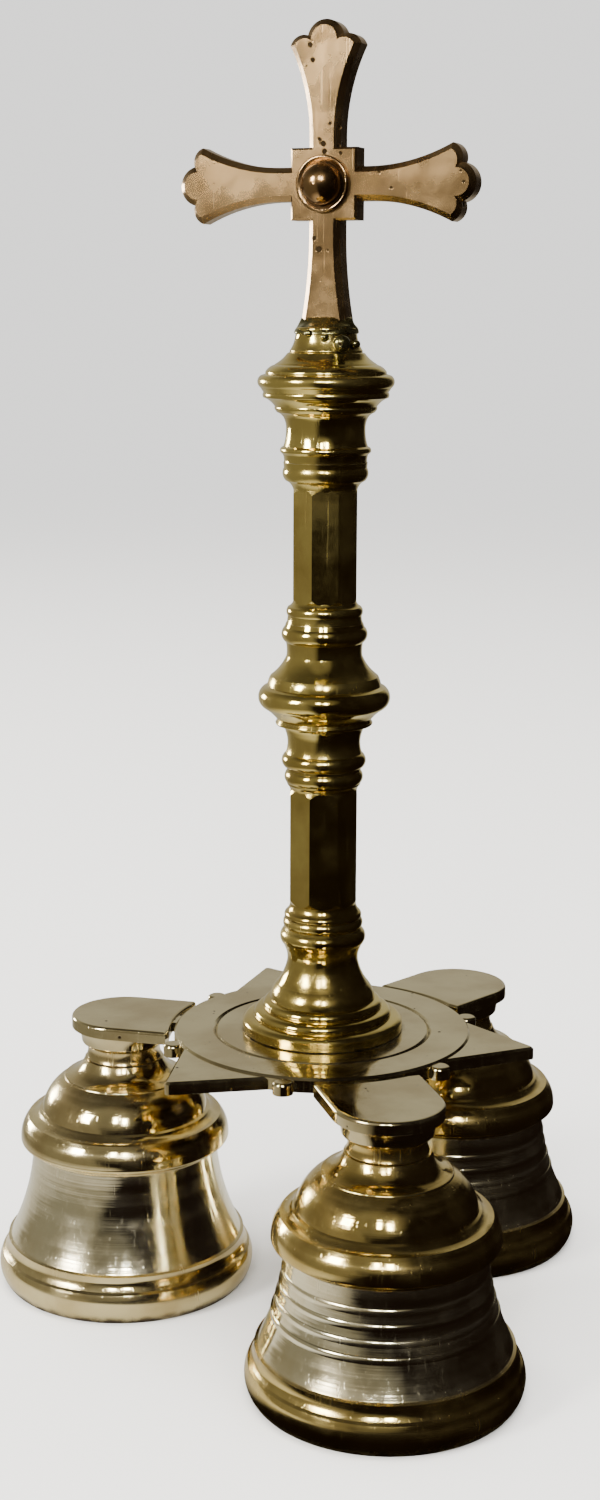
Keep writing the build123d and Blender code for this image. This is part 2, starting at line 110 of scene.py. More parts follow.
def colour_setting(name, description, default):
    """Colour property of a metal, in linear light."""
    return FloatVectorProperty(
        name=name, description=description, default=default, subtype="COLOR", size=3, min=0, max=1
    )


class SANCTUS_PG_metals(PropertyGroup):
    """Colours and polish of the metals."""

    column_brass: colour_setting("Column brass", "Yellow brass of the turned column", (0.76, 0.61, 0.20))
    plate_brass: colour_setting("Plate brass", "Duller brass of the plate", (0.70, 0.61, 0.36))
    dome_brass: colour_setting("Dome brass", "Golden metal of a bell's dome and lip", (0.74, 0.58, 0.22))
    waist_metal: colour_setting("Waist metal", "Pale bell metal of a bell's waist", (0.86, 0.80, 0.58))
    cross_bronze: colour_setting("Cross bronze", "Pink bronze of the cross", (0.36, 0.235, 0.11))
    boss_bronze: colour_setting("Boss bronze", "Red bronze of the boss on the cross", (0.48, 0.32, 0.16))
    braze_brass: colour_setting("Braze", "Olive metal of the braze", (0.40, 0.35, 0.14))
    braze_dark: colour_setting("Dark braze", "What the braze ages to in patches", (0.15, 0.14, 0.06))
    clapper_metal: colour_setting("Clapper metal", "Dark metal of the clappers", (0.42, 0.36, 0.28))
    steel: colour_setting("Steel", "Steel of the bolts, nuts and links", (0.55, 0.54, 0.52))
    tarnish: colour_setting("Tarnish", "Brown that stays in the recesses", (0.035, 0.022, 0.010))
    polish: FloatProperty(
        name="Polish", description="Roughness of freshly rubbed metal", default=0.07, min=0.02, max=0.6
    )


class SANCTUS_PG_braze(PropertyGroup):
    """Brazed collar round the foot of the cross."""

    height: FloatProperty(
        name="Height", description="How far the braze climbs the stem", default=1.9 * MM, unit="LENGTH"
    )
    unevenness: FloatProperty(
        name="Unevenness", description="How far the braze wanders", default=0.42 * MM, unit="LENGTH"
    )


class SANCTUS_PG_ridges(PropertyGroup):
    """Fine turned ridges round the waists of two of the bells."""

    count: IntProperty(name="Count", description="Ridges on each bell", default=4, min=1, max=12)
    top: FloatProperty(
        name="Top", description="Height of the highest ridge", default=24.8 * MM, unit="LENGTH"
    )
    spacing: FloatProperty(
        name="Spacing", description="From one ridge to the next", default=2.85 * MM, unit="LENGTH"
    )
    half_width: FloatProperty(
        name="Half width",
        description="Half of the height of a ridge's section",
        default=1.1 * MM,
        unit="LENGTH",
    )
    proud: FloatProperty(
        name="Proud", description="How far a ridge stands out", default=0.13 * MM, unit="LENGTH"
    )


class SANCTUS_PG_stage(PropertyGroup):
    """Floor, light and camera."""

    camera_turn: FloatProperty(
        name="Camera turn",
        description="Direction of the camera round the column",
        default=math.radians(-16.78),
        subtype="ANGLE",
    )
    camera_distance: FloatProperty(
        name="Camera distance",
        description="Level distance from the column",
        default=0.4194,
        unit="LENGTH",
    )
    camera_height: FloatProperty(
        name="Camera height", description="Height above the floor", default=0.2032, unit="LENGTH"
    )
    camera_pitch: FloatProperty(
        name="Camera pitch",
        description="How far down it looks",
        default=math.radians(11.71),
        subtype="ANGLE",
    )
    camera_yaw: FloatProperty(
        name="Camera yaw",
        description="How far to the left it looks",
        default=math.radians(0.65),
        subtype="ANGLE",
    )
    camera_roll: FloatProperty(
        name="Camera roll",
        description="Lean of the camera",
        default=math.radians(0.21),
        subtype="ANGLE",
    )
    lens: FloatProperty(name="Lens", description="Focal length in millimetres", default=51.5)
    paper: colour_setting("Paper", "Pale floor and backdrop", (0.90, 0.89, 0.87))
    room_dark: colour_setting("Dark side", "Unlit side of the room, seen in the metal", (0.010, 0.006, 0.004))
    room_light: colour_setting("Light side", "Lit side of the room, seen in the metal", (0.27, 0.25, 0.19))
    room_back: colour_setting("Far side", "Far wall of the room, seen in the metal", (0.62, 0.60, 0.52))


# ---- node tools ---------------------------------------------------------------------------


def give_inputs(tree, node, inputs):
    """Set a node's inputs to values, or link them to sockets."""
    for name, value in inputs.items():
        if isinstance(value, bpy.types.NodeSocket):
            tree.links.new(value, node.inputs[name])
        else:
            node.inputs[name].default_value = value


def new_node(tree, kind, column, row, inputs=None, **settings):
    """Node of a kind at a place in the tree. Its inputs are values or sockets to link."""
    node = tree.nodes.new(kind)
    node.location = (220 * column, -200 * row)
    for name, value in settings.items():
        setattr(node, name, value)
    give_inputs(tree, node, inputs or {})
    return node


def new_group(name, inputs, outputs):
    """Empty node group with its sockets, as (tree, input node, output node)."""
    tree = bpy.data.node_groups.new(name, "ShaderNodeTree")
    for label, kind, default in inputs:
        socket = tree.interface.new_socket(label, in_out="INPUT", socket_type=kind)
        if default is not None:
            socket.default_value = default
    for label, kind in outputs:
        tree.interface.new_socket(label, in_out="OUTPUT", socket_type=kind)
    entry = new_node(tree, "NodeGroupInput", -3, 0)
    leave = new_node(tree, "NodeGroupOutput", 6, 0)
    return tree, entry.outputs, leave.inputs


def use_group(tree, group, column, row, inputs):
    """Place a node group in a tree, and give its inputs."""
    node = new_node(tree, "ShaderNodeGroup", column, row, node_tree=group)
    give_inputs(tree, node, inputs)
    return node.outputs


def maths(tree, operation, first, second, column, row, clamp=False):
    """Output of a Math node."""
    node = new_node(tree, "ShaderNodeMath", column, row, {0: first, 1: second}, operation=operation)
    node.use_clamp = clamp
    return node.outputs[0]


def remap(tree, value, low, high, column, row, to_low=0.0, to_high=1.0):
    """Smoothly map a value from one range to another."""
    inputs = {"Value": value, "From Min": low, "From Max": high, "To Min": to_low, "To Max": to_high}
    node = new_node(tree, "ShaderNodeMapRange", column, row, inputs, interpolation_type="SMOOTHSTEP")
    return node.outputs["Result"]


def noise(tree, vector, scale, detail, column, row, roughness=0.5):
    """Factor of a Noise node."""
    inputs = {"Vector": vector, "Scale": scale, "Detail": detail, "Roughness": roughness}
    return new_node(tree, "ShaderNodeTexNoise", column, row, inputs).outputs[0]


def mix_colour(tree, factor, first, second, column, row, blend="MIX"):
    """Colour output of a Mix node."""
    node = new_node(tree, "ShaderNodeMix", column, row, data_type="RGBA", blend_type=blend)
    colours = [
        value if isinstance(value, bpy.types.NodeSocket) else (*value[:3], 1) for value in (first, second)
    ]
    give_inputs(tree, node, {0: factor, 6: colours[0], 7: colours[1]})
    return node.outputs[2]


def alignment(tree, direction, way, column, row):
    """How closely a direction runs along a fixed way, from -1 to 1."""
    inputs = {0: direction, 1: way.normalized()}
    node = new_node(tree, "ShaderNodeVectorMath", column, row, inputs, operation="DOT_PRODUCT")
    return node.outputs["Value"]


# ---- node groups for what the metals share ------------------------------------------------


def recess_tarnish_group():
    """Mask of the brown that polishing can't reach, in grooves and corners."""
    inputs = [("Vector", "NodeSocketVector", None), ("Reach", "NodeSocketFloat", 0.003)]
    tree, given, out = new_group("Recess tarnish", inputs, [("Mask", "NodeSocketFloat")])
    shade = new_node(tree, "ShaderNodeAmbientOcclusion", -1, 0, {"Distance": given["Reach"]}, samples=6)
    closed = maths(tree, "SUBTRACT", 1.0, shade.outputs["AO"], 0, 0)
    patches = remap(tree, noise(tree, given["Vector"], 260.0, 4.0, -1, 1), 0.25, 0.75, 0, 1, 0.55, 1.25)
    broken = maths(tree, "MULTIPLY", closed, patches, 1, 0)
    tree.links.new(remap(tree, broken, 0.22, 0.72, 2, 0), out["Mask"])
    return tree


def edge_wear_group():
    """Mask of the corners that hands and cloths keep bright."""
    inputs = [("Vector", "NodeSocketVector", None), ("Reach", "NodeSocketFloat", 0.00035)]
    tree, given, out = new_group("Edge wear", inputs, [("Mask", "NodeSocketFloat")])
    shade = new_node(
        tree, "ShaderNodeAmbientOcclusion", -1, 0, {"Distance": given["Reach"]}, samples=6, inside=True,
        only_local=True,
    )
    open_side = maths(tree, "SUBTRACT", 1.0, shade.outputs["AO"], 0, 0)
    patches = remap(tree, noise(tree, given["Vector"], 420.0, 3.0, -1, 1), 0.3, 0.7, 0, 1, 0.5, 1.2)
    broken = maths(tree, "MULTIPLY", open_side, patches, 1, 0)
    tree.links.new(remap(tree, broken, 0.35, 0.85, 2, 0), out["Mask"])
    return tree


def turning_marks_group():
    """Fine rings that the lathe leaves about an upright axis."""
    inputs = [("Vector", "NodeSocketVector", None), ("Lines", "NodeSocketFloat", 1100.0)]
    outputs = [("Height", "NodeSocketFloat"), ("Streaks", "NodeSocketFloat")]
    tree, given, out = new_group("Turning marks", inputs, outputs)
    flat = new_node(
        tree,
        "ShaderNodeVectorMath",
        -2,
        0,
        {0: given["Vector"], 1: (1, 1, 0)},
        operation="MULTIPLY",
    )
    reach = new_node(tree, "ShaderNodeVectorMath", -1, 0, {0: flat.outputs[0]}, operation="LENGTH")
    parts = new_node(tree, "ShaderNodeSeparateXYZ", -2, 1, {0: given["Vector"]})
    faint = maths(tree, "MULTIPLY", parts.outputs["X"], 0.02, -1, 2)
    rings = new_node(
        tree, "ShaderNodeCombineXYZ", 0, 0, {"X": reach.outputs["Value"], "Y": parts.outputs["Z"], "Z": faint}
    )
    fine = noise(tree, rings.outputs[0], given["Lines"], 2.0, 1, 0)
    wide_lines = maths(tree, "MULTIPLY", given["Lines"], 0.22, 0, 1)
    wide = noise(tree, rings.outputs[0], wide_lines, 3.0, 1, 1, 0.6)
    both = maths(tree, "ADD", maths(tree, "MULTIPLY", fine, 0.35, 2, 0), wide, 3, 0)
    tree.links.new(both, out["Height"])
    tree.links.new(remap(tree, wide, 0.35, 0.7, 3, 1), out["Streaks"])
    return tree


def handling_group():
    """Smudges and hair-fine scratches from years of use."""
    inputs = [("Vector", "NodeSocketVector", None)]
    outputs = [("Smudges", "NodeSocketFloat"), ("Scratches", "NodeSocketFloat")]
    tree, given, out = new_group("Handling", inputs, outputs)
    patches = noise(tree, given["Vector"], 95.0, 5.0, 0, 0, 0.62)
    tree.links.new(remap(tree, patches, 0.42, 0.66, 1, 0), out["Smudges"])
    layers = []
    for index, turn in enumerate((0.5, -0.9, 1.7)):
        turned_vector = new_node(
            tree,
            "ShaderNodeMapping",
            0,
            1 + index,
            {"Vector": given["Vector"], "Rotation": (turn, 0.6 * turn, 1.3 * turn), "Scale": (1, 1, 0.04)},
        )
        lines = noise(tree, turned_vector.outputs[0], 1500.0, 1.0, 1, 1 + index)
        layers.append(remap(tree, lines, 0.69, 0.76, 2, 1 + index))
    pair = maths(tree, "MAXIMUM", layers[0], layers[1], 3, 1)
    tree.links.new(maths(tree, "MAXIMUM", pair, layers[2], 4, 1), out["Scratches"])
    return tree


def cast_surface_group():
    """Slow unevenness of a casting that was filed and buffed by hand, and its small pits."""
    inputs = [
        ("Vector", "NodeSocketVector", None),
        ("Waves", "NodeSocketFloat", 150.0),
        ("Pit size", "NodeSocketFloat", 0.5),
    ]
    outputs = [("Height", "NodeSocketFloat"), ("Pits", "NodeSocketFloat")]
    tree, given, out = new_group("Cast surface", inputs, outputs)
    slow = noise(tree, given["Vector"], given["Waves"], 2.0, 0, 0, 0.45)
    cells = new_node(tree, "ShaderNodeTexVoronoi", 0, 1, {"Vector": given["Vector"], "Scale": 620.0})
    size_noise = noise(tree, given["Vector"], 170.0, 2.0, 0, 2)
    sizes = maths(tree, "MULTIPLY", remap(tree, size_noise, 0.5, 0.75, 1, 2), given["Pit size"], 2, 2)
    depth = maths(tree, "SUBTRACT", sizes, cells.outputs["Distance"], 3, 1)
    pits = remap(tree, depth, 0.0, 0.12, 4, 1)
    sunk = maths(tree, "MULTIPLY", pits, 0.5, 5, 1)
    tree.links.new(maths(tree, "SUBTRACT", slow, sunk, 5, 0), out["Height"])
    tree.links.new(pits, out["Pits"])
    return tree


def group(name):
    """The named node group, made the first time that it is asked for."""
    makers = {
        "Recess tarnish": recess_tarnish_group,
        "Edge wear": edge_wear_group,
        "Turning marks": turning_marks_group,
        "Handling": handling_group,
        "Cast surface": cast_surface_group,
    }
    return bpy.data.node_groups.get(name) or makers[name]()


def room_tone_group(stage):
    """Colour of the room in a direction, and how shaded it is.

    It has a lit side, a dark side to the right of the camera, a dim ceiling, a lit patch above
    the camera and a bright far wall.
    """
    name = "Room tone"
    if name in bpy.data.node_groups:
        return bpy.data.node_groups[name]
    inputs = [("Direction", "NodeSocketVector", None)]
    outputs = [("Colour", "NodeSocketColor"), ("Shade", "NodeSocketFloat")]
    tree, given, out = new_group(name, inputs, outputs)
    direction = given["Direction"]
    right = Vector((math.cos(stage.camera_turn), math.sin(stage.camera_turn), 0))
    ahead = Vector((-math.sin(stage.camera_turn), math.cos(stage.camera_turn), 0))
    up = Vector((0, 0, 1))

    unevenness = maths(tree, "MULTIPLY", noise(tree, direction, 2.6, 3.0, -2, 1, 0.6), 0.6, -1, 1)
    towards_dark = alignment(tree, direction, right - 0.55 * ahead, -2, 0)
    wavy = maths(tree, "ADD", towards_dark, unevenness, -1, 0)
    shaded = remap(tree, wavy, 0.14, 0.50, 0, 0)
    rise = new_node(tree, "ShaderNodeSeparateXYZ", -2, 2, {0: direction}).outputs["Z"]
    ceiling = maths(tree, "MULTIPLY", remap(tree, rise, 0.35, 0.95, -1, 2), 0.72, 0, 2)
    dimmed = maths(tree, "MAXIMUM", shaded, ceiling, 1, 1)
    patch_way = 0.62 * up - 0.75 * ahead - Vector((0.2 * right.x, 0, 0))
    towards_patch = alignment(tree, direction, patch_way, -2, 4)
    undimmed = remap(tree, towards_patch, 0.80, 0.95, -1, 4, 1.0, 0.25)
    dimmed = maths(tree, "MULTIPLY", dimmed, undimmed, 1, 2)
    towards_back = alignment(tree, direction, ahead + 0.25 * up, -2, 3)
    glow = maths(tree, "MULTIPLY", remap(tree, towards_back, 0.5, 0.95, -1, 3), 0.8, 0, 3)
    lit = mix_colour(tree, glow, stage.room_light, stage.room_back, 1, 3)
    tree.links.new(mix_colour(tree, dimmed, lit, stage.room_dark, 2, 0), out["Colour"])
    tree.links.new(shaded, out["Shade"])
    return tree


# ---- metals -------------------------------------------------------------------------------


def aged_metal(
    name, colour, deep, polish, axis=(0, 0), lines=1100.0, turned=1.0, grooves=1.0, waves=150.0,
    uneven=1.0, pit_size=0.0, reach=3 * MM, band=None,
):
    """Polished metal with tarnish in its recesses, bright edges, turning marks and wear.

    deep is the colour that it ages to in patches, and polish the roughness of clean metal. axis
    is where the lathe's axis stood. lines, turned and grooves are how fine, how dull and how
    deep the turning marks are, and waves and uneven how fine and how strong the casting's
    unevenness is. pit_size is how large its pits are, and reach how far tarnish spreads out of a
    corner. band is (low, high, colour) for a stretch of other metal between two heights.
    """
    metals = bpy.context.scene.sanctus_metals
    material = bpy.data.materials.new(name)
    material.use_nodes = True
    material.diffuse_color = (*colour, 1)
    tree = material.node_tree
    tree.nodes.clear()
    place = new_node(tree, "ShaderNodeTexCoord", -6, 0)
    centred = new_node(
        tree,
        "ShaderNodeMapping",
        -5,
        0,
        {"Vector": place.outputs["Object"], "Location": (-axis[0], -axis[1], 0)},
    ).outputs[0]

    recess = use_group(tree, group("Recess tarnish"), -3, 0, {"Vector": centred, "Reach": reach})["Mask"]
    wear = use_group(tree, group("Edge wear"), -3, 1, {"Vector": centred})["Mask"]
    marks = use_group(tree, group("Turning marks"), -3, 2, {"Vector": centred, "Lines": lines})
    handling = use_group(tree, group("Handling"), -3, 3, {"Vector": centred})
    cast = use_group(
        tree, group("Cast surface"), -3, 4, {"Vector": centred, "Waves": waves, "Pit size": pit_size}
    )

    patches = remap(tree, noise(tree, centred, 70.0, 4.0, -3, 5), 0.35, 0.7, -2, 5)
    ground = mix_colour(tree, patches, colour, deep, -1, 0)
    if band:
        low, high, other = band
        height = new_node(tree, "ShaderNodeSeparateXYZ", -4, 6, {0: centred}).outputs["Z"]
        above = remap(tree, height, low - 0.5 * MM, low + 0.5 * MM, -3, 6)
        below = remap(tree, height, high - 0.3 * MM, high + 0.3 * MM, -3, 7, 1.0, 0.0)
        inside = maths(tree, "MULTIPLY", above, below, -2, 6)
        kept_clean = remap(tree, patches, 0.0, 1.0, -2, 7, 1.0, 0.72)
        cleaned = maths(tree, "MULTIPLY", inside, kept_clean, -1, 6)
        ground = mix_colour(tree, cleaned, ground, other, 0, 0)
    bright = mix_colour(tree, wear, ground, [c + 0.3 * (1 - c) for c in colour], 1, 0)
    smudged = maths(tree, "MULTIPLY", handling["Smudges"], 0.22, 0, 3)
    dulled = mix_colour(tree, smudged, bright, deep, 2, 0)
    dark = maths(tree, "MAXIMUM", recess, cast["Pits"], 1, 1)
    base = mix_colour(tree, dark, dulled, metals.tarnish, 3, 0)

    streaky = maths(tree, "MULTIPLY", marks["Streaks"], 0.07 * turned, 0, 4)
    hazy = maths(tree, "MULTIPLY", handling["Smudges"], 0.11, 0, 5)
    scratched = maths(tree, "MULTIPLY", handling["Scratches"], 0.08, 0, 6)
    crusted = maths(tree, "MULTIPLY", dark, 0.36, 1, 4)
    worked = maths(tree, "ADD", streaky, hazy, 1, 5)
    spoilt = maths(tree, "ADD", scratched, crusted, 2, 6)
    rough = maths(tree, "ADD", worked, spoilt, 2, 5)
    rubbed = maths(tree, "ADD", maths(tree, "MULTIPLY", wear, 0.16, 2, 6), polish, 3, 6)
    rough = maths(tree, "ADD", rough, rubbed, 3, 5, True)

    rings = new_node(
        tree,
        "ShaderNodeBump",
        3,
        3,
        {"Strength": 1.0, "Distance": 0.012 * MM * turned * grooves, "Height": marks["Height"]},
    )
    scars = new_node(
        tree,
        "ShaderNodeBump",
        4,
        3,
        {"Distance": 0.006 * MM, "Height": handling["Scratches"], "Normal": rings.outputs[0]},
        invert=True,
    )
    waves_bump = new_node(
        tree,
        "ShaderNodeBump",
        5,
        3,
        {"Distance": 0.10 * MM * uneven, "Height": cast["Height"], "Normal": scars.outputs[0]},
    )
    shader = new_node(
        tree,
        "ShaderNodeBsdfPrincipled",
        6,
        0,
        {"Base Color": base, "Metallic": 1.0, "Roughness": rough, "Normal": waves_bump.outputs[0]},
    )
    new_node(tree, "ShaderNodeOutputMaterial", 8, 0, {"Surface": shader.outputs[0]})
    return material


def bell_axis(name):
    """Place of a bell's axis, from the box of its casting."""
    low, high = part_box(f"{name}_bell")
    return (low.x + high.x) / 2, (low.y + high.y) / 2


def give(nodes, material):
    """Put a material on CAD nodes."""
    for node in nodes:
        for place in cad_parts[node].material_slots:
            place.material = material


def darker(colour, share):
    """Colour taken down by a share, a little less in red than in blue."""
    return tuple(c * (1 - share * k) for c, k in zip(colour, (0.85, 1.0, 1.2)))


# ---- making pieces ------------------------------------------------------------------------


def deselect_everything():
    """Leave edit mode and clear the selection, so that an operator touches only its own piece."""
    if bpy.context.object and bpy.context.object.mode != "OBJECT":
        bpy.ops.object.mode_set(mode="OBJECT")
    bpy.ops.object.select_all(action="DESELECT")


def finish_piece(piece, name, material, body="frame"):
    """Bake a piece's place into its mesh, name it, give its finish and put it on its body."""
    deselect_everything()
    piece.select_set(True)
    bpy.context.view_layer.objects.active = piece
    bpy.ops.object.transform_apply(location=True, rotation=True, scale=True)
    bpy.ops.object.mode_set(mode="EDIT")
    bpy.ops.mesh.select_all(action="SELECT")
    bpy.ops.mesh.remove_doubles(threshold=0.001 * MM)
    bpy.ops.mesh.normals_make_consistent(inside=False)
    bpy.ops.object.mode_set(mode="OBJECT")
    bpy.ops.object.shade_smooth_by_angle(angle=math.radians(50))
    piece.name = name
    piece.data.name = name
    piece.data.materials.clear()
    piece.data.materials.append(material)
    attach(piece, body)


def join_pieces(pieces):
    """Join pieces into the first of them."""
    deselect_everything()
    for piece in pieces:
        piece.select_set(True)
    bpy.context.view_layer.objects.active = pieces[0]
    bpy.ops.object.join()


def apply_subdivision(piece, levels):
    """Round a piece off with a Subdivision Surface modifier, and apply it."""
    modifier = piece.modifiers.new("Rounding", "SUBSURF")
    modifier.levels = levels
    modifier.render_levels = levels
    bpy.ops.object.modifier_apply(modifier=modifier.name)


# ---- operators ----------------------------------------------------------------------------


class SANCTUS_OT_column_finish(Operator):
    """Give the turned column its yellow brass"""

    bl_idname = "sanctus.column_finish"
    bl_label = "Column brass"

    def execute(self, context):
        metals = context.scene.sanctus_metals
        brass = tuple(metals.column_brass)
        turned_brass = aged_metal("Column brass", brass, darker(brass, 0.35), metals.polish, grooves=2.5)
        bar_brass = aged_metal(
            "Shaft brass", brass, darker(brass, 0.4), metals.polish + 0.03, turned=0.35, uneven=1.3
        )
        give(("column_foot", "knop", "capital", "cross_pin"), turned_brass)
        give(("lower_shaft", "upper_shaft"), bar_brass)
        return {"FINISHED"}


class SANCTUS_OT_plate_finish(Operator):
    """Give the plate its duller cast brass"""

    bl_idname = "sanctus.plate_finish"
    bl_label = "Plate brass"

    def execute(self, context):
        metals = context.scene.sanctus_metals
        brass = tuple(metals.plate_brass)
        cast_brass = aged_metal(
            "Plate brass", brass, darker(brass, 0.3), metals.polish, turned=0.35, uneven=0.5,
            pit_size=0.3, reach=1.6 * MM,
        )
        give(("base_plate",), cast_brass)
        return {"FINISHED"}


class SANCTUS_OT_bell_finish(Operator):
    """Give each bell and its collar their metal, centred on the bell's own axis"""

    bl_idname = "sanctus.bell_finish"
    bl_label = "Bell metal"

    def execute(self, context):
        metals = context.scene.sanctus_metals
        dome = tuple(metals.dome_brass)
        waist = tuple(metals.waist_metal)
        for name in BELLS:
            paler = LEFT_BELL_PALER if name == "left" else 0.0
            metal = tuple(d + paler * (w - d) for d, w in zip(dome, waist))
            axis = bell_axis(name)
            bell_metal = aged_metal(
                f"Bell metal, {name}", metal, darker(metal, 0.35), metals.polish, axis=axis,
                lines=1500.0, turned=1.3, grooves=3.5, uneven=0.7, band=(*WAIST_BAND, waist),
            )
            collar_brass = aged_metal(
                f"Collar brass, {name}", metal, darker(metal, 0.45), metals.polish + 0.02, axis=axis
            )
            give((f"{name}_bell",), bell_metal)
            give((f"{name}_collar",), collar_brass)
        return {"FINISHED"}


class SANCTUS_OT_cross_finish(Operator):
    """Give the cross its pitted pink bronze, and the boss its redder one"""

    bl_idname = "sanctus.cross_finish"
    bl_label = "Cross bronze"

    def execute(self, context):
        metals = context.scene.sanctus_metals
        pink = tuple(metals.cross_bronze)
        red = tuple(metals.boss_bronze)
        cross_bronze = aged_metal(
            "Cross bronze", pink, darker(pink, 0.3), metals.polish + 0.14, turned=0.0, waves=120.0,
            uneven=1.8, pit_size=0.42, reach=1.5 * MM,
        )
        boss_bronze = aged_metal(
            "Boss bronze", red, darker(red, 0.4), metals.polish + 0.07, turned=0.0, uneven=1.4,
            reach=2 * MM,
        )
        give(("cross",), cross_bronze)
        give(("boss_rivet",), boss_bronze)
        return {"FINISHED"}


class SANCTUS_OT_hanger_finish(Operator):
    """Give the bolts, nuts, links and clappers their metals"""

    bl_idname = "sanctus.hanger_finish"
    bl_label = "Hangers and clappers"

    def execute(self, context):
        metals = context.scene.sanctus_metals
        grey = tuple(metals.steel)
        dark = tuple(metals.clapper_metal)
        steel = aged_metal(
            "Oiled steel", grey, darker(grey, 0.5), metals.polish + 0.2, turned=0.3, lines=700.0,
            uneven=1.2,
        )
        give(("tie_rod", "tie_washer", "tie_nut"), steel)
        for name in BELLS:
            fixings = ("eye_bolt", "hanger_washer", "hanger_nut", "link")
            give([f"{name}_{piece}" for piece in fixings], steel)
            clapper = aged_metal(
                f"Clapper metal, {name}", dark, darker(dark, 0.45), metals.polish + 0.16,
                axis=bell_axis(name), lines=900.0, uneven=1.6, pit_size=0.4,
            )
            give((f"{name}_clapper",), clapper)
        return {"FINISHED"}


class SANCTUS_OT_turned_ridges(Operator):
    """Turn fine ridges round the waists of the front and right bells"""

    bl_idname = "sanctus.turned_ridges"
    bl_label = "Turned ridges"

    def wall_radius(self, node, axis, height):
        """Outer radius of a bell at a height, found by looking in at it from outside."""
        outside = axis[0] + 40 * MM
        found, where, _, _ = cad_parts[node].ray_cast(
            Vector((outside, axis[1], height)), Vector((-1, 0, 0))
        )
        if not found:
            raise RuntimeError(f"{node} has no wall at {height:.4f} m")
        return where.x - axis[0]

    def ridge(self, axis, radius, height):
        """One ridge: a flattened circle spun round the bell's axis."""
        ridges = bpy.context.scene.sanctus_ridges
        section = ridges.proud + RIDGE_SUNK
        deselect_everything()
        bpy.ops.mesh.primitive_circle_add(
            vertices=14,
            radius=section,
            location=(axis[0] + radius - RIDGE_SUNK, axis[1], height),
            rotation=(math.radians(90), 0, 0),
        )
        bpy.ops.transform.resize(value=(1, 1, ridges.half_width / section))
        bpy.ops.object.transform_apply(location=True, rotation=True, scale=True)
        bpy.ops.object.mode_set(mode="EDIT")
        bpy.ops.mesh.select_all(action="SELECT")
        bpy.ops.mesh.spin(steps=120, angle=math.tau, center=(*axis, 0), axis=(0, 0, 1))
        bpy.ops.object.mode_set(mode="OBJECT")
        return bpy.context.object

    def execute(self, context):
        ridges = context.scene.sanctus_ridges
        for name in RIDGED_BELLS:
            axis = bell_axis(name)
            rings = []
            for index in range(ridges.count):
                height = ridges.top - index * ridges.spacing
                radius = self.wall_radius(f"{name}_bell", axis, height)
                rings.append(self.ridge(axis, radius, height))
            join_pieces(rings)
            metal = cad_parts[f"{name}_bell"].material_slots[0].material
            finish_piece(rings[0], f"{name}_bell_ridges", metal)
        return {"FINISHED"}


class SANCTUS_OT_braze(Operator):
    """Run an uneven collar of braze round the foot of the cross"""

    bl_idname = "sanctus.braze"
    bl_label = "Braze"

    def collar(self, braze, top):
        """Rows of the collar, drawn one above the other from a closed foot, with a wavy top."""
        deselect_everything()
        bpy.ops.mesh.primitive_circle_add(
            vertices=28, radius=MM, fill_type="NGON", location=(0, 0, top)
        )
        collar = bpy.context.object
        bpy.ops.object.mode_set(mode="EDIT")
        bpy.ops.mesh.select_all(action="SELECT")
        share, width, depth = BRAZE_ROWS[0]
        bpy.ops.transform.resize(value=(width, depth, 1))
        bpy.ops.transform.translate(value=(0, 0, share * braze.height))
        for (share, width, depth), (last_share, last_width, last_depth) in zip(BRAZE_ROWS[1:], BRAZE_ROWS):
            bpy.ops.mesh.extrude_edges_move(
                TRANSFORM_OT_translate={"value": (0, 0, (share - last_share) * braze.height)}
            )
            bpy.ops.transform.resize(value=(width / last_width, depth / last_depth, 1))
        bpy.ops.mesh.edge_face_add()
        bpy.ops.mesh.select_all(action="DESELECT")
        mesh = bmesh.from_edit_mesh(collar.data)
        for vertex in mesh.verts:
            height = vertex.co.z + collar.location.z - top
            vertex.select = -0.5 * braze.height < height < 1.02 * braze.height
        bmesh.update_edit_mesh(collar.data)
        bpy.ops.mesh.select_mode(type="VERT")
        bpy.ops.transform.vertex_random(offset=braze.unevenness, uniform=0.4, seed=5)
        bpy.ops.mesh.select_all(action="SELECT")
        bpy.ops.object.mode_set(mode="OBJECT")
        collar.rotation_euler.z = CROSS_TURN
        apply_subdivision(collar, 2)
        return collar

    def bead(self, top, across, along, drop, size, squash):
        """One lumpy bead that ran down on to the capital."""
        deselect_everything()
        bpy.ops.mesh.primitive_ico_sphere_add(
            subdivisions=4, radius=size * MM, location=(across * MM, along * MM, top - drop * MM)
        )
        bpy.ops.transform.resize(value=(1, 0.8, squash))
        bpy.ops.object.mode_set(mode="EDIT")
        bpy.ops.mesh.select_all(action="SELECT")
        bpy.ops.transform.vertex_random(offset=0.06 * size * MM, uniform=0.5, seed=9)
        bpy.ops.mesh.vertices_smooth(factor=0.5, repeat=2)
        bpy.ops.object.mode_set(mode="OBJECT")
        bpy.ops.object.transform_apply(location=True, rotation=True, scale=True)
        return bpy.context.object

    def execute(self, context):
        braze = context.scene.sanctus_braze
        metals = context.scene.sanctus_metals
        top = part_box("capital")[1].z
        collar = self.collar(braze, top)
        beads = [self.bead(top, *bead) for bead in BRAZE_BEADS]
        join_pieces([collar, *beads])
        filler = aged_metal(
            "Braze", tuple(metals.braze_brass), tuple(metals.braze_dark), metals.polish + 0.1,
            turned=0.0, waves=420.0, uneven=1.6, pit_size=0.4, reach=1.2 * MM,
        )
        finish_piece(collar, "cross_braze", filler)
        return {"FINISHED"}


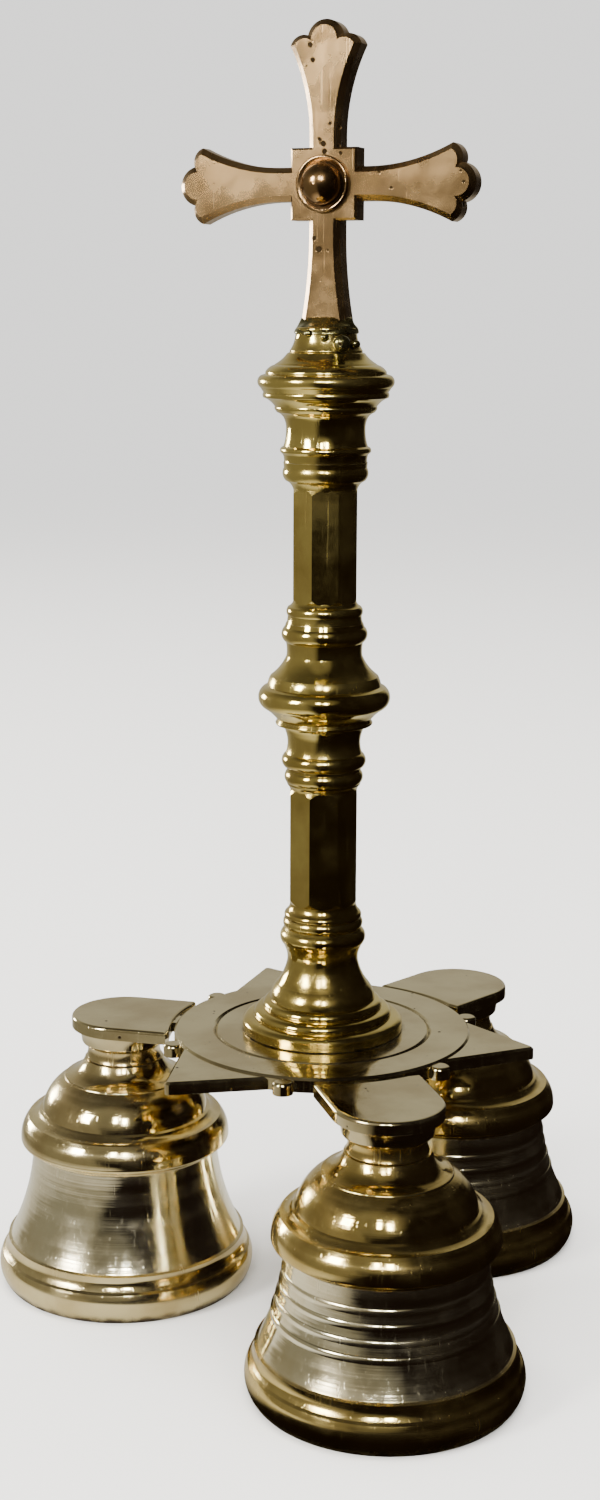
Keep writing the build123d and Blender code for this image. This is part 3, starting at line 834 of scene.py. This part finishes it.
class SANCTUS_OT_stage(Operator):
    """Lay the floor, hang the lights and set the camera"""

    bl_idname = "sanctus.stage"
    bl_label = "Studio"

    def floor(self, stage):
        """Pale paper that fades into the backdrop far from the object."""
        deselect_everything()
        bpy.ops.mesh.primitive_circle_add(
            vertices=128, radius=PAPER_RADIUS, fill_type="NGON", location=(0, 0, 0)
        )
        paper = bpy.context.object
        paper.name = "Paper floor"
        material = bpy.data.materials.new("Paper")
        material.use_nodes = True
        tree = material.node_tree
        tree.nodes.clear()
        pale = (*stage.paper, 1)
        place = new_node(tree, "ShaderNodeTexCoord", -3, 0).outputs["Object"]
        reach = new_node(
            tree, "ShaderNodeVectorMath", -2, 0, {0: place}, operation="LENGTH"
        ).outputs["Value"]
        far = remap(tree, reach, 0.3, 2.4, -1, 0)
        grain = noise(tree, place, 2600.0, 3.0, -1, 2)
        tooth = new_node(tree, "ShaderNodeBump", 0, 2, {"Distance": 0.02 * MM, "Height": grain})
        diffuse = new_node(
            tree, "ShaderNodeBsdfDiffuse", 1, 1, {"Color": pale, "Normal": tooth.outputs[0]}
        ).outputs[0]
        glow = new_node(
            tree, "ShaderNodeEmission", 1, 2, {"Color": pale, "Strength": BACKDROP}
        ).outputs[0]
        seen = new_node(tree, "ShaderNodeMixShader", 2, 0, {0: far, 1: diffuse, 2: glow}).outputs[0]

        level = new_node(tree, "ShaderNodeVectorMath", 0, 4, {0: place}, operation="NORMALIZE")
        tone = use_group(tree, room_tone_group(stage), 1, 4, {"Direction": level.outputs[0]})
        room = new_node(
            tree, "ShaderNodeEmission", 2, 4, {"Color": tone["Colour"], "Strength": ROOM}
        ).outputs[0]
        near = remap(tree, reach, *PAPER_REACH, 2, 6, PAPER_MIRRORED, 0.0)
        lit = maths(tree, "SUBTRACT", 1.0, tone["Shade"], 2, 5)
        clear = maths(tree, "MULTIPLY", lit, near, 3, 5)
        mirrored = new_node(
            tree, "ShaderNodeMixShader", 3, 2, {0: clear, 1: room, 2: diffuse}
        ).outputs[0]

        glossy = new_node(tree, "ShaderNodeLightPath", 2, -2).outputs["Is Glossy Ray"]
        both = new_node(tree, "ShaderNodeMixShader", 4, 0, {0: glossy, 1: seen, 2: mirrored})
        new_node(tree, "ShaderNodeOutputMaterial", 5, 0, {"Surface": both.outputs[0]})
        paper.data.materials.append(material)

    def room(self, stage):
        """Pale backdrop, and a room with a lit side and a dark side for the metal to mirror."""
        world = bpy.data.worlds.new("Studio")
        bpy.context.scene.world = world
        world.use_nodes = True
        tree = world.node_tree
        tree.nodes.clear()
        place = new_node(tree, "ShaderNodeTexCoord", -5, 0).outputs["Generated"]
        tone = use_group(tree, room_tone_group(stage), -1, 0, {"Direction": place})["Colour"]
        mirrored = new_node(
            tree, "ShaderNodeBackground", 0, 0, {"Color": tone, "Strength": ROOM}
        ).outputs[0]
        pale = new_node(
            tree, "ShaderNodeBackground", 0, 1, {"Color": (*stage.paper, 1), "Strength": BACKDROP}
        ).outputs[0]
        glossy = new_node(tree, "ShaderNodeLightPath", -1, -1).outputs["Is Glossy Ray"]
        both = new_node(tree, "ShaderNodeMixShader", 1, 0, {0: glossy, 1: pale, 2: mirrored})
        new_node(tree, "ShaderNodeOutputWorld", 2, 0, {"Surface": both.outputs[0]})

    def lamp(self, stage, name, turn, rise, distance, width, height, power, mirrored):
        """Rectangular soft light that looks at the middle of the object."""
        turn = stage.camera_turn + math.radians(turn)
        rise = math.radians(rise)
        way = Vector(
            (math.sin(turn) * math.cos(rise), -math.cos(turn) * math.cos(rise), math.sin(rise))
        )
        light = bpy.data.lights.new(name, "AREA")
        light.shape = "RECTANGLE"
        light.size = width
        light.size_y = height
        light.energy = power
        light.color = LAMP_COLOUR
        lamp = bpy.data.objects.new(name, light)
        bpy.context.scene.collection.objects.link(lamp)
        lamp.location = LAMP_TARGET + distance * way
        lamp.rotation_mode = "QUATERNION"
        lamp.rotation_quaternion = (-way).to_track_quat("-Z", "Y")
        lamp.visible_camera = False
        lamp.visible_glossy = mirrored

    def camera(self, stage):
        """Camera looking a little down on the object."""
        turn = stage.camera_turn
        heading = turn + stage.camera_yaw
        level = Vector((-math.sin(heading), math.cos(heading), 0))
        ahead = level * math.cos(stage.camera_pitch) - Vector((0, 0, math.sin(stage.camera_pitch)))
        view = bpy.data.cameras.new("Camera")
        view.lens = stage.lens
        view.sensor_width = 36.0
        view.clip_start = 0.01
        view.clip_end = 50.0
        camera = bpy.data.objects.new("Camera", view)
        bpy.context.scene.collection.objects.link(camera)
        camera.location = (
            stage.camera_distance * math.sin(turn),
            -stage.camera_distance * math.cos(turn),
            stage.camera_height,
        )
        camera.rotation_mode = "QUATERNION"
        roll = Quaternion((0, 0, 1), stage.camera_roll)
        camera.rotation_quaternion = ahead.to_track_quat("-Z", "Y") @ roll
        bpy.context.scene.camera = camera

    def execute(self, context):
        stage = context.scene.sanctus_stage
        self.floor(stage)
        self.room(stage)
        for name, values in LAMPS.items():
            self.lamp(stage, name, *values)
        self.camera(stage)
        return {"FINISHED"}


OPERATORS = (
    SANCTUS_OT_column_finish,
    SANCTUS_OT_plate_finish,
    SANCTUS_OT_bell_finish,
    SANCTUS_OT_cross_finish,
    SANCTUS_OT_hanger_finish,
    SANCTUS_OT_turned_ridges,
    SANCTUS_OT_braze,
    SANCTUS_OT_stage,
)


class SANCTUS_PT_panel(Panel):
    """The bell's settings and its operators, in the sidebar."""

    bl_idname = "SANCTUS_PT_panel"
    bl_label = "Sanctus Bell"
    bl_space_type = "VIEW_3D"
    bl_region_type = "UI"
    bl_category = "Sanctus Bell"

    def draw(self, context):
        layout = self.layout
        for settings in SETTINGS:
            box = layout.box()
            values = getattr(context.scene, settings)
            for name in values.bl_rna.properties.keys():
                if name not in ("rna_type", "name"):
                    box.prop(values, name)
        for operator in OPERATORS:
            layout.operator(operator.bl_idname)


SETTINGS = {
    "sanctus_metals": SANCTUS_PG_metals,
    "sanctus_ridges": SANCTUS_PG_ridges,
    "sanctus_braze": SANCTUS_PG_braze,
    "sanctus_stage": SANCTUS_PG_stage,
}
CLASSES = (*SETTINGS.values(), *OPERATORS, SANCTUS_PT_panel)


def register():
    for cls in CLASSES:
        bpy.utils.register_class(cls)
    for name, settings in SETTINGS.items():
        setattr(bpy.types.Scene, name, PointerProperty(type=settings))


def unregister():
    for name in SETTINGS:
        delattr(bpy.types.Scene, name)
    for cls in reversed(CLASSES):
        bpy.utils.unregister_class(cls)


def main():
    """Finish every piece, model the new ones and set the stage."""
    register()
    bpy.ops.sanctus.column_finish()
    bpy.ops.sanctus.plate_finish()
    bpy.ops.sanctus.bell_finish()
    bpy.ops.sanctus.cross_finish()
    bpy.ops.sanctus.hanger_finish()
    bpy.ops.sanctus.turned_ridges()
    bpy.ops.sanctus.braze()
    bpy.ops.sanctus.stage()


if __name__ == "__main__":
    main()
